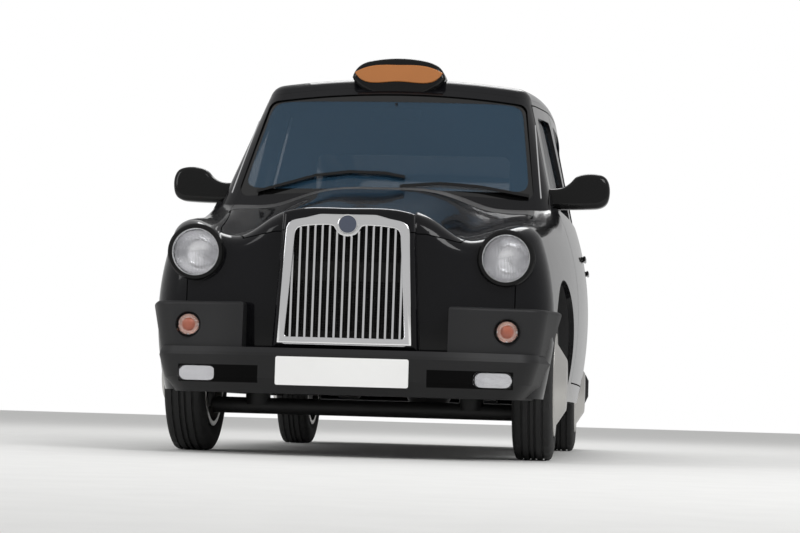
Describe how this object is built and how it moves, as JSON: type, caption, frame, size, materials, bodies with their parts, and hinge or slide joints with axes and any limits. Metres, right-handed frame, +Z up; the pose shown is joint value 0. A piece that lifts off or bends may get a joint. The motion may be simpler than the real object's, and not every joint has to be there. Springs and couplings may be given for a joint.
{
  "type": "taxi cab",
  "caption": "Black purpose-built taxi cab with a tall cabin, upright grille, roof sign, opening doors, bonnet and boot lid",
  "frame": {"origin": "on the ground under the middle of the overall length, on the centre plane", "axes": "+X is the cab's left side, +Y its rear, +Z up; the grille faces -Y"},
  "size_m": [1.9856, 4.575, 1.8199],
  "materials": {
    "body_paint": "gloss black paint",
    "underbody": "satin black underseal",
    "trim_plastic": "matt dark grey moulded plastic",
    "gloss_trim": "gloss black plastic",
    "bright": "polished chrome",
    "alloy": "silver painted cover",
    "iron": "machined and cast iron",
    "window": "clear glass",
    "lens": "clear lens",
    "amber": "amber lens",
    "red_lens": "red lens",
    "white_plate": "blank white plate",
    "tyre_rubber": "black tyre",
    "cabin_trim": "dark grained plastic",
    "seat_cloth": "dark woven cloth"
  },
  "bodies": {
    "cab": {"front_panel": "body_paint", "front_wings": "body_paint", "scuttle": "trim_plastic", "body_sides": "body_paint", "roof": "body_paint", "fixed_glass": "window", "chassis": "underbody", "floor": "underbody", "bulkhead": "underbody", "front_liners": "trim_plastic", "rear_liners": "trim_plastic", "engine": "iron", "bumper_front": "trim_plastic", "bumper_rear": "trim_plastic", "grille": "bright", "grille_mesh": "gloss_trim", "lamp_reflectors": "gloss_trim", "clear_lenses": "lens", "indicator_lenses": "lens", "tail_lenses": "red_lens", "plates": "white_plate", "sign_housing": "gloss_trim", "sign_lens": "amber", "wipers": "gloss_trim", "dashboard": "cabin_trim", "steering_wheel": "cabin_trim", "driver_seat": "seat_cloth", "passenger_seats": "seat_cloth", "partition": "cabin_trim", "front_suspension": "iron", "rear_axle": "iron"},
    "steer_left": {"knuckle_left": "iron"},
    "steer_right": {"knuckle_right": "iron"},
    "wheel_front_left_body": {"tyre_front_left": "tyre_rubber", "wheel_front_left": "alloy"},
    "wheel_front_right_body": {"tyre_front_right": "tyre_rubber", "wheel_front_right": "alloy"},
    "wheel_rear_left_body": {"tyre_rear_left": "tyre_rubber", "wheel_rear_left": "alloy"},
    "wheel_rear_right_body": {"tyre_rear_right": "tyre_rubber", "wheel_rear_right": "alloy"},
    "door_front_left_body": {"door_front_left": "body_paint", "door_front_left_glass": "window", "mirror_left": "gloss_trim"},
    "door_front_right_body": {"door_front_right": "body_paint", "door_front_right_glass": "window", "mirror_right": "gloss_trim"},
    "door_rear_left_body": {"door_rear_left": "body_paint", "door_rear_left_glass": "window"},
    "door_rear_right_body": {"door_rear_right": "body_paint", "door_rear_right_glass": "window"},
    "bonnet_body": {"bonnet": "body_paint"},
    "boot_lid_body": {"boot_lid": "body_paint"}
  },
  "joints": [
    {"name": "front_left_steer", "type": "hinge", "parent": "cab", "child": "steer_left", "pos_m": [0.662, -1.53, 0.315], "axis": [0, 0, 1], "range_deg": [-40, 40]},
    {"name": "front_left_wheel", "type": "hinge", "parent": "steer_left", "child": "wheel_front_left_body", "pos_m": [0.715, -1.53, 0.315], "axis": [1, 0, 0], "continuous": true},
    {"name": "rear_left_wheel", "type": "hinge", "parent": "cab", "child": "wheel_rear_left_body", "pos_m": [0.71, 1.356, 0.315], "axis": [1, 0, 0], "continuous": true},
    {"name": "front_left_door", "type": "hinge", "parent": "cab", "child": "door_front_left_body", "pos_m": [0.873, -0.965, 0.7], "axis": [0, 0, -1], "range_deg": [0, 65]},
    {"name": "rear_left_door", "type": "hinge", "parent": "cab", "child": "door_rear_left_body", "pos_m": [0.88, 0.039, 0.7], "axis": [0, 0, -1], "range_deg": [0, 85]},
    {"name": "front_right_steer", "type": "hinge", "parent": "cab", "child": "steer_right", "pos_m": [-0.662, -1.53, 0.315], "axis": [0, 0, 1], "range_deg": [-40, 40]},
    {"name": "front_right_wheel", "type": "hinge", "parent": "steer_right", "child": "wheel_front_right_body", "pos_m": [-0.715, -1.53, 0.315], "axis": [1, 0, 0], "continuous": true},
    {"name": "rear_right_wheel", "type": "hinge", "parent": "cab", "child": "wheel_rear_right_body", "pos_m": [-0.71, 1.356, 0.315], "axis": [1, 0, 0], "continuous": true},
    {"name": "front_right_door", "type": "hinge", "parent": "cab", "child": "door_front_right_body", "pos_m": [-0.873, -0.965, 0.7], "axis": [0, 0, 1], "range_deg": [0, 65]},
    {"name": "rear_right_door", "type": "hinge", "parent": "cab", "child": "door_rear_right_body", "pos_m": [-0.88, 0.039, 0.7], "axis": [0, 0, 1], "range_deg": [0, 85]},
    {"name": "bonnet_hinge", "type": "hinge", "parent": "cab", "child": "bonnet_body", "pos_m": [0, -1.108, 1.13], "axis": [-1, 0, 0], "range_deg": [0, 50]},
    {"name": "boot_lid_hinge", "type": "hinge", "parent": "cab", "child": "boot_lid_body", "pos_m": [0, 2.206, 1.094], "axis": [1, 0, 0], "range_deg": [0, 75]}
  ],
  "couplings": [
    {"joint": "front_right_steer", "follows": "front_left_steer", "ratio": 1}
  ]
}
